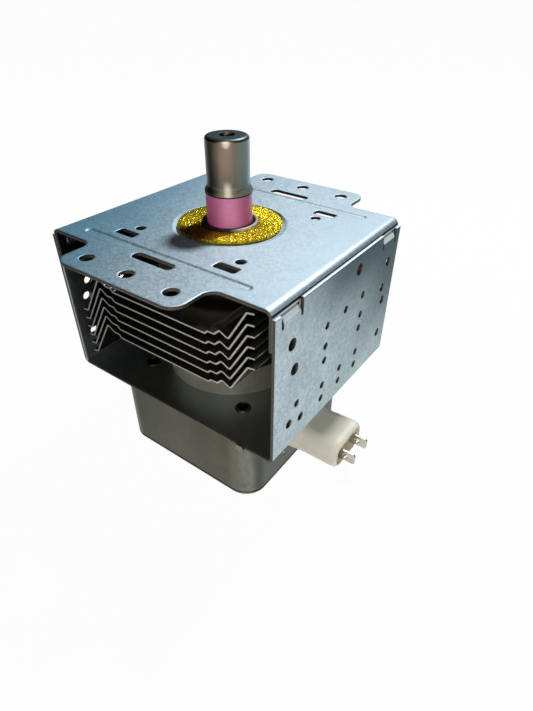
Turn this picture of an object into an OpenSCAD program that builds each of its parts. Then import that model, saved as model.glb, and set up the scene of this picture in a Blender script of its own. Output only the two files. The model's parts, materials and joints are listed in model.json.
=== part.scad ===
// Magnetron for a microwave oven: a copper resonant anode between two ring magnets in a steel
// yoke, cooled by folded fins, with the antenna above and the filter box below.
// Millimetres. Origin: the antenna's axis at the mounting face. +Z runs along the antenna and
// +X points to the terminals.

/* [Yoke] */
// Outer width across the side walls
frame_w = 95.4; // [90:0.1:104]
// Depth from the front edge to the back edge
frame_d = 80; // [76:0.5:90]
// Height from the mounting face to the underside of the yoke
frame_h = 58.5; // [56:0.5:66]
// Thickness of the yoke steel
sheet_t = 1.05; // [0.9:0.05:1.6]
// Outer radius of the lower yoke's bends
frame_bend_r = 2.4; // [2:0.1:6]
// Outer radius of the top plate's bends
plate_bend_r = 2.4; // [2:0.1:3]
// Reach of the top plate's flanges below the mounting face
flange_drop = 13.5; // [11:0.5:16]
// Gap between a flange and the wall that clasps it
flange_gap = 0.05; // [0.02:0.01:0.3]
// Drop from the mounting face to the walls' upper edges
wall_drop = 1.7; // [1.5:0.1:2.5]
// Width of a crimped lug
lug_w = 8.6; // [6:0.2:10]
// Width of the slits beside a lug
lug_slit = 1.2; // [0.6:0.1:2]
// Drop from the mounting face to a lug's root
lug_root = 7; // [6:0.25:9]
// Outer radius of a lug's bend
lug_bend_r = 3; // [2.4:0.1:3.4]
// Turn of a lug's bend towards the inside, in degrees
lug_turn = 78; // [60:1:85]
// Distance of a lug's middle from the yoke's front or back edge
lug_inset = 8.5; // [7:0.25:10]

/* [Mounting tabs] */
// Width of a mounting tab
tab_w = 51; // [46:0.5:58]
// Metal between the middle of the mounting holes and the tab's outer edge
tab_margin = 6.8; // [5:0.2:9]
// Radius of a tab's outer corners
tab_r = 5; // [3:0.5:6.5]
// Radius of the fillets at a tab's root
tab_root_r = 4; // [2:0.5:5]
// Spacing of the outer mounting holes along a tab
mount_pitch_x = 36; // [32:0.5:40]
// Spacing between the front and back rows of mounting holes
mount_pitch_y = 96; // [94:0.5:104]
// Diameter of the mounting holes
mount_hole_d = 4.8; // [3.6:0.1:5.6]

/* [Plate details] */
// Length of the round-ended slot beside each tab
slot_l = 17; // [12:0.5:22]
// Width of the round-ended slot
slot_w = 4; // [3:0.25:4.5]
// Length of the pressed stiffening beads
bead_l = 71.5; // [60:0.5:76]
// Width of the stiffening beads
bead_w = 3; // [2:0.1:3.4]
// Depth of the stiffening beads
bead_depth = 0.4; // [0.2:0.05:0.6]
// Run of the beads' sloping sides
bead_slope = 0.5; // [0.2:0.05:0.8]
// Length of the four rectangular slots
window_l = 8.6; // [6:0.2:10]
// Width of the four rectangular slots
window_w = 3.8; // [2:0.1:4]
// Diameter of the four locating holes
locate_d = 3.5; // [2.5:0.1:4.2]
// Sideways set of the beads and the rectangular slots beside each tab
edge_shift = 0.8; // [0:0.1:1.5]
// Depth of the round recess that holds the gasket
dish_depth = 0.8; // [0.5:0.05:1]
// Run of the recess's sloping side
dish_slope = 1.2; // [0.4:0.1:2]

/* [Antenna] */
// Outer diameter of the gasket
gasket_d = 37.4; // [33:0.1:40]
// Height of the gasket above the mounting face
gasket_rise = 1; // [0.7:0.1:2]
// Outer diameter of the antenna's seal can
can_d = 19.8; // [18.6:0.1:21]
// Height of the seal can's shoulder above the mounting face
can_rise = 1.2; // [1:0.1:2]
// Outer diameter of the ceramic
ceramic_d = 16; // [14.5:0.1:17]
// Bore of the ceramic
ceramic_bore_d = 11.2; // [10:0.1:12]
// Length of the ceramic
ceramic_l = 10.3; // [8:0.1:14]
// Outer diameter of the cap
cap_d = 14.7; // [14:0.1:15.4]
// Length of the cap
cap_l = 18.1; // [15:0.1:22]
// Wall of the cap
cap_wall = 0.5; // [0.3:0.05:0.7]
// Diameter of the flared collar at the foot of the cap
collar_d = 16.4; // [15.6:0.1:17.4]
// Height of the flared collar
collar_h = 2.4; // [1.5:0.1:3]
// Diameter of the hole in the cap's crown
crown_hole_d = 5.4; // [4:0.2:7]
// Radius of the cap's upper edge
crown_r = 1.2; // [0.8:0.1:2]
// Outer diameter of the exhaust tube
exhaust_d = 5.6; // [5:0.1:6.4]
// Wall of the exhaust tube
exhaust_wall = 0.7; // [0.5:0.05:0.9]
// Length of the exhaust tube's pinched end
pinch_l = 4; // [3:0.25:5]
// Diameter of the antenna lead
lead_d = 2.4; // [2:0.1:3]
// Reach of the antenna lead above the ceramic
lead_reach = 9; // [7:0.25:11]

/* [Fins] */
// Thickness of a fin
fin_t = 0.6; // [0.4:0.05:0.8]
// Spacing from one fin to the next
fin_pitch = 3.82; // [3.2:0.02:4.2]
// Distance of the fins' edges behind the yoke's edges
fin_inset = 0.8; // [0.2:0.1:4]
// Half the width of the flat web
web_half = 21; // [20.4:0.1:22]
// Height of the step beside the web
step_h = 1.2; // [0.6:0.1:1.6]
// Distance of the ridges from the axis
ridge_x = 27; // [26.4:0.1:28]
// Height of the ridges above the web
ridge_h = 3.3; // [2.4:0.1:4]
// Distance from the ridge to the valley beside the rising leg
valley_run = 3.3; // [2.5:0.1:4]
// Height of the valley above the web
valley_h = 1.6; // [0.8:0.1:2]
// Height of the legs
leg_h = 13.3; // [11:0.1:14.2]
// Width of the lips at the ends of the legs
lip_w = 2.6; // [1.5:0.1:3.4]
// Slope of the lips over their width
lip_rise = 0.4; // [0:0.1:0.8]
// Gap between the lips and the yoke's flanges on the terminal side
lip_gap = 5.45; // [3:0.05:6.5]
// Reach of the falling legs past the rising ones, measured from the axis
left_reach = 0.8; // [0:0.1:1.5]
// Radius of the fins' bends, at the middle of the sheet
fin_bend_r = 0.8; // [0.5:0.1:1.2]
// Height of the neck that grips the anode
neck_h = 2.1; // [1.4:0.1:2.3]

/* [Magnets] */
// Outer diameter of a ring magnet
magnet_d = 53.6; // [50:0.2:56]
// Bore of a ring magnet
magnet_bore_d = 23; // [22:0.2:26]
// Thickness of a ring magnet
magnet_t = 11.6; // [10.6:0.1:12.6]

/* [Anode and cathode] */
// Outer diameter of the anode cylinder
anode_d = 38; // [36:0.1:39]
// Wall of the anode cylinder
anode_wall = 2; // [1.5:0.1:2.6]
// Thickness of a vane
vane_t = 1.9; // [1.5:0.1:2.1]
// Height of a vane
vane_h = 9.5; // [8:0.1:10.5]
// Diameter of the circle at the vanes' tips
vane_tip_d = 9.2; // [8.8:0.1:10]
// Width of a strap ring
strap_w = 0.7; // [0.5:0.05:0.9]
// Height of a strap ring
strap_h = 1.2; // [0.8:0.05:1.6]
// Thickness of the pole pieces
pole_t = 1.4; // [1:0.1:1.8]
// Depth of a pole piece's funnel below its rim
pole_drop = 5.4; // [4:0.1:6]
// Bore of a pole piece
pole_bore_d = 9.4; // [8.6:0.1:10.4]
// Thickness of the seal cans
can_t = 0.6; // [0.4:0.05:0.8]
// Mean diameter of the filament
filament_d = 3.9; // [3.5:0.1:4.3]
// Diameter of the filament wire
filament_wire_d = 0.5; // [0.4:0.05:0.6]
// Diameter of the end hats
hat_d = 7.2; // [6.6:0.1:7.8]
// Diameter of the cathode leads
cathode_lead_d = 1.4; // [1.1:0.1:1.6]
// Drop from the yoke's underside to the stem's ceramic
stem_drop = 2.5; // [2:0.25:4]
// Length of the stem's ceramic
stem_l = 9; // [8:0.25:10]

/* [Filter box] */
// Width of the filter box
box_w = 68.4; // [64:0.2:76]
// Depth of the filter box
box_d = 69.2; // [66:0.2:74]
// Height of the filter box with its lid
box_h = 35.4; // [33:0.2:42]
// Radius of the filter box's upright corners
box_r = 8.9; // [6:0.1:12]
// Thickness of the filter box and its lid
box_t = 0.8; // [0.6:0.05:1]
// Height of the lid's rim inside the box
lid_rim_h = 4; // [3:0.25:6]
// Height of the groove between the box and its lid
seam_h = 0.5; // [0.2:0.05:1]
// Spacing of the clinched collars across the box
clinch_pitch_x = 47; // [46:0.5:50]
// Spacing of the clinched collars from front to back
clinch_pitch_y = 49.4; // [48:0.2:52]
// Outer diameter of a clinched collar
clinch_d = 5.2; // [4.8:0.1:5.6]
// Bore of a clinched collar
clinch_bore_d = 4.2; // [3.4:0.1:4.2]

/* [Terminals] */
// Height of the terminals' middle above the box's underside
terminal_rise = 15.4; // [14:0.2:18]
// Spacing of the two blades
blade_pitch = 10; // [9:0.1:10.6]
// Height of a blade
blade_h = 4.8; // [4:0.1:5.4]
// Thickness of a blade
blade_t = 0.8; // [0.5:0.05:1]
// Reach of the blades past the connector
blade_reach = 5.5; // [4:0.1:8]
// Length of the connector outside the box
block_l = 22.3; // [18:0.1:26]
// Width of the connector
block_w = 21; // [20.2:0.1:23]
// Height of the connector
block_h = 12.5; // [11.6:0.1:14]
// Radius of the connector's long edges
block_r = 5; // [4:0.1:5.5]
// Depth of the connector's cavities
cavity_depth = 12; // [8:0.5:14]
// Depth of the connector's open mouth, in front of the wall between the cavities
mouth_depth = 3; // [1:0.25:5]
// Diameter of the choke wire
choke_wire_d = 1.4; // [1:0.1:1.5]
// Turns in a choke
choke_turns = 8; // [6:1:9]

/* [Hidden] */
$fn = 64;
VANE_COUNT = 10;
eps = 0.01;

// Clearances: brazed or pressed round fits, and loose slots
fit_gap = 0.05;
slot_gap = 0.1;

// Yoke and top plate
wall_x = frame_w/2;
plate_w = frame_w - 2*sheet_t - 2*flange_gap;
clear_x = plate_w/2 - sheet_t;
tab_edge = mount_pitch_y/2 + tab_margin;
slot_edge = 0.5;
slot_y = frame_d/2 - slot_w/2 - slot_edge;
bead_y = slot_y - slot_w/2 - bead_w/2 - slot_edge;
window_x = 21.8;
window_y = 27.6;
window_r = 0.8;
locate_xy = 22;
lug_y = frame_d/2 - lug_inset;
lug_relief = 0.6;
lug_stem = 1;
lug_top = lug_stem + lug_bend_r - lug_root;
end_step = 0.8;
end_drop = wall_drop + end_step;

// Holes in a side wall, as [y, z, diameter], seen on the terminal side
screw_holes = [[-31.1, -14.9, 4.2], [-29.2, -25.1, 4.2], [-31.2, -46.7, 3.3], [-24.1, -48.6, 3.3],
               [-27, -40.6, 2.8]];
locating_hole = [8.8, -7.2, 4.2];
vent_rows = [-19.3, -27.4, -33.2, -44.1, -50.1];
outer_vent_y = [-10.5, 14.2];
middle_vent_y = 1.8;
middle_vent_rows = [vent_rows[0], vent_rows[3], vent_rows[4]];
edge_vents = [[33, -13.8], [31, -23.9], [33, -30.1], [33.4, -45.7]];
edge_vent_d = 3.4;
vent_d = 2.8;

// Gasket seat and antenna
dish_margin = 0.3;
bore_margin = 0.5;
gasket_overlap = 0.35;
gasket_edge = 0.7;
dish_r = gasket_d/2 + dish_margin;
dish_z = -dish_depth;
can_r = can_d/2;
plate_bore_r = can_r + bore_margin;
ceramic_z = can_rise;
cap_z = ceramic_z + ceramic_l;
cap_top = cap_z + cap_l;
crown_t = 0.8;
flare_h = 1.4;
can_lip_h = 0.3;
can_lip_t = 0.7;
cup_t = 0.5;

// Heights of the stack between the yoke's plates
stack_top = dish_z - sheet_t;
stack_bottom = -frame_h + sheet_t;
upper_magnet_z = stack_top - magnet_t;
lower_magnet_z = stack_bottom + magnet_t;
anode_top = upper_magnet_z - can_t - pole_t;
anode_bottom = lower_magnet_z + can_t + pole_t;
anode_mid = (anode_top + anode_bottom)/2;

// Fins: the first web hangs a ridge below the magnet
fin_clear = 0.2;
fin_d = frame_d - 2*fin_inset;
fin_top_z = upper_magnet_z - ridge_h - fin_t/2 - fin_clear;
lip_x = clear_x - lip_gap;
leg_x = lip_x - lip_w;
step_run = 1.2;
ridge_half = 2.2;
neck_r = anode_d/2 + fit_gap;

// Vanes, straps and the antenna lead's foot
vane_r = anode_d/2 - anode_wall - fit_gap;
vane_top = anode_mid + vane_h/2;
strap_r = [vane_tip_d/2 + 1.3, vane_tip_d/2 + 2.7];
strap_lift = 0.4;
lead_foot_r = 10.3;
lead_axis_z = -5;
lead_tip = cap_z + lead_reach;
tube_top = lead_tip + exhaust_wall;
pinch_top = tube_top + pinch_l;
pinch_half = 0.5;
pole_rim_r = anode_d/2 - anode_wall - 1.4;
pole_flat_r = 8.4;

// Cathode
filament_turns = 8.5;
filament_pitch = 1.05;
filament_l = filament_turns*filament_pitch;
hat_t = 1.2;
hat_z = filament_l/2 + filament_wire_d/2 + fit_gap;
side_lead_y = 2.7;
stem_y = blade_pitch/2;
stem_top = -frame_h - stem_drop;
stem_bottom = stem_top - stem_l;
stem_lap = 3;
washer_d = 3.4;
washer_t = 1.4;
pin_d = 1.8;
pin_lap = 1;
weld_h = 0.8;
stem_r = can_r - can_t - fit_gap;
lead_splay_z = stem_top + 11;
lead_set_z = stem_top + 2;

// Filter box, connector and chokes
box_top = -frame_h;
box_bottom = box_top - box_h;
lid_z = box_bottom + box_t;
box_x = box_w/2;
terminal_z = box_bottom + terminal_rise;
stem_hole_r = can_r + 3;
yoke_hole_r = can_r + 1.1;
clinch_flare = 0.5;
clinch_rise = 0.5;
tongue_w = 3.2;
tongue_rise = 0.45;
tongue_r = 1.3;
tongue_x = box_x - tongue_w/2;
tongue_root = 3;
spigot_w = block_w - 4;
spigot_h = block_h - 4;
plate_x = box_x - 2*box_t;
block_end = box_x + block_l;
foot_l = 7;
foot_grow = 0.6;
mouth_l = 2.6;
mouth_round = 0.9;
mouth_lift = 0.8;
cavity_w = blade_pitch - 2.4;
cavity_h = block_h - 3.5;
cavity_r = 2.5;
blade_end = block_end + blade_reach;
blade_hole_d = 2.2;
blade_hole_back = 4;
case_l = 8.6;
case_wall = 1.3;
case_x = plate_x - case_l;
capacitor_w = spigot_w + 1;
capacitor_h = spigot_h + 0.5;
rivet_y = 12;
rivet_z = 7.7;
rivet_d = 2.2;
capacitor_plate_w = 2*rivet_y + 6;
capacitor_plate_h = 2*rivet_z + 5;
blade_start = case_x - 4;
choke_r = blade_h/2 + choke_wire_d/2 + fit_gap;
choke_top = terminal_z + choke_r + choke_wire_d/2;
choke_pitch = 2;
choke_l = choke_turns*choke_pitch;
choke_x = blade_start - choke_l - 1.5;
choke_lead_end = case_x - 0.6;

// Flat shapes

// Rectangle with rounded corners, centred
module rounded_rect(w, d, r) {
    square([w - 2*r, d], center = true);
    square([w, d - 2*r], center = true);
    for (sx = [-1, 1], sy = [-1, 1])
        translate([sx*(w/2 - r), sy*(d/2 - r)])
            circle(r);
}

// Round-ended slot along x, centred
module stadium(l, w) {
    square([l - w, w], center = true);
    for (s = [-1, 1])
        translate([s*(l - w)/2, 0])
            circle(d = w);
}

// Rectangle that hangs below y = 0, with its upper corners rounded
module hanging_block(w, h, r) {
    translate([-w/2, -h])
        square([w, h - r]);
    translate([r - w/2, -h])
        square([w - 2*r, h]);
    for (s = [-1, 1])
        translate([s*(w/2 - r), -r])
            circle(r);
}

// Bent channel, open downwards, with its web's outer face at y = 0
module channel_section(w, h, t, r) {
    difference() {
        hanging_block(w, h, r);
        translate([0, -t])
            hanging_block(w - 2*t, h, r - t);
    }
}

// Turns a flat shape in (x, z) upright and extrudes it along y, centred
module along_y(l) {
    rotate([90, 0, 0])
        linear_extrude(l, center = true)
            children();
}

// Turns a flat shape in (y, z) upright and extrudes it from x0 to x1
module along_x(x0, x1) {
    translate([x0, 0, 0])
        rotate([90, 0, 90])
            linear_extrude(x1 - x0)
                children();
}

// Places at the four corners of a rectangle
module at_corners(px, py) {
    for (sx = [-1, 1], sy = [-1, 1])
        translate([sx*px, sy*py, 0])
            children();
}

// Ring with a rectangular section
module ring(r0, r1, z0, z1) {
    translate([0, 0, z0])
        difference() {
            cylinder(r = r1, h = z1 - z0);
            translate([0, 0, -1])
                cylinder(r = r0, h = z1 - z0 + 2);
        }
}

// Bent rod through a list of points, a little swollen where it is bent
module rod(points, d) {
    for (i = [0 : len(points) - 2]) {
        span = points[i + 1] - points[i];
        l = norm(span);
        translate(points[i])
            rotate([0, acos(span[2]/l), atan2(span[1], span[0])])
                cylinder(d = d, h = l);
    }
    for (i = [1 : 1 : len(points) - 2])
        translate(points[i])
            sphere(d = d*1.06);
}

// Wire swept along a path of [point, outward direction] pairs
function unit(v) = v/norm(v);
function heading(path, i) =
    unit(path[min(i + 1, len(path) - 1)][0] - path[max(i - 1, 0)][0]);
function wire_ring(path, i, r, sides) =
    let (out = path[i][1], across = unit(cross(heading(path, i), out)))
    [for (k = [0 : sides - 1]) path[i][0] + r*(out*cos(360*k/sides) + across*sin(360*k/sides))];
module wire(path, d, sides) {
    last = len(path) - 1;
    points = [for (i = [0 : last]) each wire_ring(path, i, d/2, sides)];
    skin = [for (i = [0 : last - 1], k = [0 : sides - 1])
        let (a = i*sides + k, b = i*sides + (k + 1)%sides)
        each [[a, b, b + sides], [a, b + sides, a + sides]]];
    start_face = [for (k = [sides - 1 : -1 : 0]) k];
    end_face = [for (k = [0 : sides - 1]) last*sides + k];
    polyhedron(points, concat(skin, [start_face, end_face]));
}

// Yoke

module tab_outline() {
    reach = tab_edge - frame_d/2;
    translate([-tab_w/2, -1])
        square([tab_w, reach - tab_r + 1]);
    translate([tab_r - tab_w/2, 0])
        square([tab_w - 2*tab_r, reach]);
    for (s = [-1, 1]) {
        translate([s*(tab_w/2 - tab_r), reach - tab_r])
            circle(tab_r);
        difference() {
            translate([s*(tab_w/2 + tab_root_r/2), tab_root_r/2 - 0.5])
                square([tab_root_r, tab_root_r + 1], center = true);
            translate([s*(tab_w/2 + tab_root_r), tab_root_r])
                circle(tab_root_r);
        }
    }
}

// Places of the four crimped lugs, each with +x outwards
module at_lugs() {
    for (turn = [0, 180], e = [-1, 1])
        rotate([0, 0, turn])
            translate([wall_x, e*lug_y, 0])
                children();
}

// Stiffening bead pressed down from the plate: its hollow, or its ridge below
module bead(l, w) {
    h = bead_depth + eps;
    for (s = [-1, 1])
        translate([s*(l - w)/2, 0, 0])
            cylinder(r1 = w/2 - bead_slope, r2 = w/2, h = h);
    along_x((w - l)/2, (l - w)/2)
        polygon([[bead_slope - w/2, 0], [w/2 - bead_slope, 0], [w/2, h], [-w/2, h]]);
}

module locating_bores() {
    for (turn = [0, 180])
        rotate([0, 0, turn])
            translate([wall_x - 3*sheet_t, locating_hole[0], locating_hole[1]])
                rotate([0, 90, 0])
                    cylinder(d = locating_hole[2], h = 5*sheet_t);
}

module top_plate() color([0.62, 0.68, 0.72]) {
    difference() {
        union() {
            along_y(frame_d)
                channel_section(plate_w, flange_drop, sheet_t, plate_bend_r);
            for (turn = [0, 180])
                rotate([0, 0, turn])
                    translate([0, frame_d/2, -sheet_t])
                        linear_extrude(sheet_t)
                            tab_outline();
            for (turn = [0, 180])
                rotate([0, 0, turn])
                    translate([edge_shift, bead_y, -sheet_t - bead_depth])
                        bead(bead_l + sheet_t, bead_w + sheet_t);
            translate([0, 0, stack_top])
                cylinder(r1 = dish_r + sheet_t, r2 = dish_r + sheet_t + dish_slope, h = dish_depth + eps);
        }
        for (turn = [0, 180])
            rotate([0, 0, turn]) {
                translate([edge_shift, bead_y, -bead_depth])
                    bead(bead_l, bead_w);
                for (s = [-1, 1])
                    translate([s*window_x + edge_shift, window_y, -2*sheet_t])
                        linear_extrude(3*sheet_t)
                            rounded_rect(window_l, window_w, window_r);
                translate([0, slot_y, -2*sheet_t])
                    linear_extrude(3*sheet_t)
                        stadium(slot_l, slot_w);
                for (x = [-1, 0, 1])
                    translate([x*mount_pitch_x/2, mount_pitch_y/2, -2*sheet_t])
                        cylinder(d = mount_hole_d, h = 3*sheet_t);
            }
        translate([0, 0, dish_z])
            cylinder(r1 = dish_r, r2 = dish_r + dish_slope, h = dish_depth + eps);
        translate([0, 0, stack_top - 1])
            cylinder(r = plate_bore_r, h = 2*sheet_t + 2);
        at_corners(locate_xy, locate_xy)
            translate([0, 0, -2*sheet_t])
                cylinder(d = locate_d, h = 3*sheet_t);
        at_lugs()
            translate([-3.5*sheet_t, -lug_w/2 - lug_relief, -lug_root - lug_relief])
                cube([4*sheet_t, lug_w + 2*lug_relief, lug_root + lug_relief + lug_top + slot_gap]);
        locating_bores();
    }
}

// Section of a lug in (x, z), from its root on the wall's outer face
module lug_section() {
    far = 2*lug_bend_r;
    translate([-sheet_t, -eps])
        square([sheet_t, lug_stem + 2*eps]);
    translate([-lug_bend_r, lug_stem])
        difference() {
            circle(lug_bend_r);
            circle(lug_bend_r - sheet_t);
            translate([-far, -2*far])
                square([2*far, 2*far]);
            rotate(lug_turn)
                square([2*far, far]);
            translate([-far, 0])
                square([far, far]);
        }
}

module wall_bore(hole) {
    translate([wall_x - 1.5*sheet_t, hole[0], hole[1]])
        rotate([0, 90, 0])
            cylinder(d = hole[2], h = 2*sheet_t);
}

module yoke_frame() color([0.66, 0.71, 0.74]) {
    difference() {
        translate([0, 0, -frame_h])
            mirror([0, 0, 1])
                along_y(frame_d)
                    channel_section(frame_w, frame_h - wall_drop, sheet_t, frame_bend_r);
        at_lugs()
            translate([-1.5*sheet_t, -lug_w/2 - lug_slit, -lug_root])
                cube([2*sheet_t, lug_w + 2*lug_slit, lug_root]);
        for (sx = [-1, 1], sy = [-1, 1])
            translate([sx*wall_x, sy*(lug_y + lug_w/2 + lug_inset), 0])
                cube([4*sheet_t, 2*lug_inset, 2*end_drop], center = true);
        for (turn = [0, 180])
            rotate([0, 0, turn]) {
                for (hole = screw_holes)
                    wall_bore(hole);
                for (y = outer_vent_y, z = vent_rows)
                    wall_bore([y, z, vent_d]);
                for (z = middle_vent_rows)
                    wall_bore([middle_vent_y, z, vent_d]);
                for (place = edge_vents)
                    wall_bore([place[0], place[1], edge_vent_d]);
            }
        locating_bores();
        translate([0, 0, -frame_h - 1])
            cylinder(r = yoke_hole_r, h = sheet_t + 2);
        at_corners(clinch_pitch_x/2, clinch_pitch_y/2)
            translate([0, 0, -frame_h - 1])
                cylinder(r = clinch_d/2 + slot_gap, h = sheet_t + 2);
    }
    at_lugs()
        translate([0, 0, -lug_root])
            along_y(lug_w)
                lug_section();
}

// Antenna

module rf_gasket() color([0.83, 0.72, 0.18]) {
    r0 = plate_bore_r - gasket_overlap;
    r1 = gasket_d/2;
    edge = gasket_edge;
    rotate_extrude() {
        translate([r0, dish_z])
            square([r1 - r0, gasket_rise + dish_depth - edge]);
        translate([r0 + edge, dish_z])
            square([r1 - r0 - 2*edge, gasket_rise + dish_depth]);
        for (r = [r0 + edge, r1 - edge])
            translate([r, gasket_rise - edge])
                circle(edge);
    }
}

// Can with a flange on the pole piece and a shoulder that carries the ceramic
module antenna_seal_can() color([0.85, 0.86, 0.86]) {
    flange_z = upper_magnet_z - can_t;
    seat_r = ceramic_bore_d/2;
    lip_r = can_r - can_lip_t;
    lip_z = can_rise + can_lip_h;
    rotate_extrude()
        polygon([[can_r - can_t, flange_z], [anode_d/2, flange_z], [anode_d/2, upper_magnet_z],
                 [can_r, upper_magnet_z], [can_r, lip_z], [lip_r, lip_z], [lip_r, can_rise],
                 [seat_r, can_rise], [seat_r, can_rise - can_t], [can_r - can_t, can_rise - can_t]]);
}

module antenna_ceramic() color([0.74, 0.42, 0.57])
    ring(ceramic_bore_d/2, ceramic_d/2, ceramic_z, cap_z);

// Drawn thimble with a flared foot and a pierced crown
module antenna_cap() color([0.48, 0.45, 0.42]) {
    r = cap_d/2;
    foot = collar_d/2;
    flare_z = cap_z + collar_h - flare_h;
    difference() {
        rotate_extrude() {
            translate([0, cap_z])
                square([r, cap_l - crown_r]);
            translate([0, cap_z])
                square([r - crown_r, cap_l]);
            translate([r - crown_r, cap_top - crown_r])
                circle(crown_r);
            polygon([[0, cap_z], [foot, cap_z], [foot, flare_z], [r, flare_z + flare_h],
                     [0, flare_z + flare_h]]);
        }
        translate([0, 0, cap_z - 1])
            cylinder(r = r - cap_wall, h = cap_l - crown_t + 1);
        translate([0, 0, cap_top - 2*crown_t])
            cylinder(d = crown_hole_d, h = 3*crown_t);
    }
}

// Sealing cup on the ceramic, drawn up into a tube that is pinched shut
module exhaust_tube() color([0.72, 0.45, 0.3]) {
    r = exhaust_d/2;
    ring(r - exhaust_wall, cap_d/2 - cap_wall - slot_gap, cap_z, cap_z + cup_t);
    ring(r - exhaust_wall, r, cap_z, tube_top);
    intersection() {
        translate([0, 0, tube_top - eps])
            cylinder(r = r, h = pinch_l);
        along_y(exhaust_d)
            polygon([[-r, tube_top - 1], [r, tube_top - 1], [r, tube_top], [pinch_half, pinch_top],
                     [-pinch_half, pinch_top], [-r, tube_top]]);
    }
}

module antenna_lead() color([0.72, 0.45, 0.3]) {
    bend_z = anode_top - 2.5;
    rod([[lead_foot_r, 0, vane_top], [lead_foot_r, 0, bend_z], [0, 0, lead_axis_z], [0, 0, lead_tip]],
        lead_d);
}

// Magnets and fins

module ring_magnet(z) {
    ring(magnet_bore_d/2, magnet_d/2, z, z + magnet_t);
}

module upper_magnet() color([0.16, 0.15, 0.14])
    ring_magnet(upper_magnet_z);

module lower_magnet() color([0.16, 0.15, 0.14])
    ring_magnet(stack_bottom);

// Folded line of a fin in (x, z): a falling leg on the left and a rising leg on the right
fin_line = [[-lip_x - left_reach, -leg_h - lip_rise], [-leg_x - left_reach, -leg_h],
            [-ridge_x - left_reach, ridge_h], [ridge_half - ridge_x, step_h],
            [-web_half - step_run, step_h], [-web_half, 0],
            [web_half, 0], [web_half + step_run, step_h], [ridge_x - ridge_half, step_h],
            [ridge_x, ridge_h], [ridge_x + valley_run, valley_h], [leg_x, leg_h],
            [lip_x, leg_h + lip_rise]];

// Folded line with each bend turned into an arc of the given steps
function bend_angle(a, b) = acos(max(-1, min(1, a*b)));
function bend_arc(p, a, b, l, r, steps) =
    let (hand = sign(a[0]*b[1] - a[1]*b[0]), middle = p - a*l + hand*r*turned(a),
         angle = bend_angle(a, b))
    [for (k = [0 : steps])
        let (w = hand*angle*k/steps, v = -hand*r*turned(a))
        middle + [v[0]*cos(w) - v[1]*sin(w), v[0]*sin(w) + v[1]*cos(w)]];
function bent(line, r, steps) = [for (i = [0 : len(line) - 1]) each
    i == 0 || i == len(line) - 1 ? [line[i]] :
    let (before = line[i] - line[i - 1], after = line[i + 1] - line[i],
         half = tan(bend_angle(unit(before), unit(after))/2),
         l = min(r*half, 0.45*min(norm(before), norm(after))))
    bend_arc(line[i], unit(before), unit(after), l, l/half, steps)];

// Strip of even thickness round a folded line, mitred at its corners
function turned(v) = [-v[1], v[0]];
function side(line, i) =
    let (a = unit(line[i] - line[max(i - 1, 0)] + (i == 0 ? line[1] - line[0] : [0, 0])),
         b = i == len(line) - 1 ? a : unit(line[i + 1] - line[i]))
    (turned(a) + turned(b))/(1 + a*b);
function strip(line, t) = concat(
    [for (i = [0 : len(line) - 1]) line[i] + side(line, i)*t/2],
    [for (i = [len(line) - 1 : -1 : 0]) line[i] - side(line, i)*t/2]);

module fin(index) color([0.8, 0.81, 0.81]) {
    translate([0, 0, fin_top_z - (index - 1)*fin_pitch])
        difference() {
            union() {
                along_y(fin_d)
                    polygon(strip(bent(fin_line, fin_bend_r, 4), fin_t));
                cylinder(r = neck_r + fin_t, h = neck_h);
            }
            translate([0, 0, -fin_t])
                cylinder(r = neck_r, h = neck_h + 2*fin_t);
        }
}

// Anode

module anode_cylinder() color([0.76, 0.47, 0.32])
    ring(anode_d/2 - anode_wall, anode_d/2, anode_bottom, anode_top);

// Vane along +x, notched for the straps: a strap rests in every other vane
module vane(index) {
    difference() {
        translate([vane_tip_d/2, -vane_t/2, anode_mid - vane_h/2])
            cube([vane_r - vane_tip_d/2, vane_t, vane_h]);
        for (k = [0, 1]) {
            rests = (index + k)%2 == 0;
            deep = strap_h + (rests ? 0 : strap_lift);
            wide = strap_w + 2*(rests ? fit_gap : 0.25);
            for (s = [-1, 1])
                translate([0, 0, anode_mid + s*(vane_h/2 - deep/2 + 0.5)])
                    ring(strap_r[k] - wide/2, strap_r[k] + wide/2, -deep/2 - 0.5, deep/2 + 0.5);
        }
    }
}

module anode_vanes() color([0.78, 0.5, 0.34])
    for (i = [0 : VANE_COUNT - 1])
        rotate([0, 0, i*360/VANE_COUNT])
            vane(i);

module strap_rings() color([0.74, 0.5, 0.36])
    for (r = strap_r, s = [-1, 1])
        translate([0, 0, anode_mid + s*(vane_h/2 - strap_h/2)])
            ring(r - strap_w/2, r + strap_w/2, -strap_h/2, strap_h/2);

// Iron funnel with its rim on the end of the anode, drawn with the rim's seat at z = 0
module pole_piece() {
    rotate_extrude()
        polygon([[anode_d/2, 0], [anode_d/2, pole_t], [pole_rim_r - 0.5, pole_t],
                 [pole_flat_r, pole_t - pole_drop], [pole_bore_d/2, pole_t - pole_drop],
                 [pole_bore_d/2, -pole_drop], [pole_flat_r + 0.5, -pole_drop], [pole_rim_r, 0]]);
}

module upper_pole_piece() color([0.5, 0.5, 0.5])
    difference() {
        translate([0, 0, anode_top])
            pole_piece();
        translate([lead_foot_r, 0, anode_top - pole_drop - 1])
            cylinder(d = lead_d + 2, h = pole_drop + pole_t + 2);
    }

module lower_pole_piece() color([0.5, 0.5, 0.5])
    translate([0, 0, anode_bottom])
        mirror([0, 0, 1])
            pole_piece();

// Cathode

function filament_path(n) = [for (i = [0 : filament_turns*n])
    let (a = 360*i/n, out = [cos(a), sin(a), 0])
    [out*filament_d/2 + [0, 0, anode_mid - filament_l/2 + filament_pitch*i/n], out]];

module filament() color([0.45, 0.44, 0.44])
    wire(filament_path(12), filament_wire_d, 6);

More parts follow.
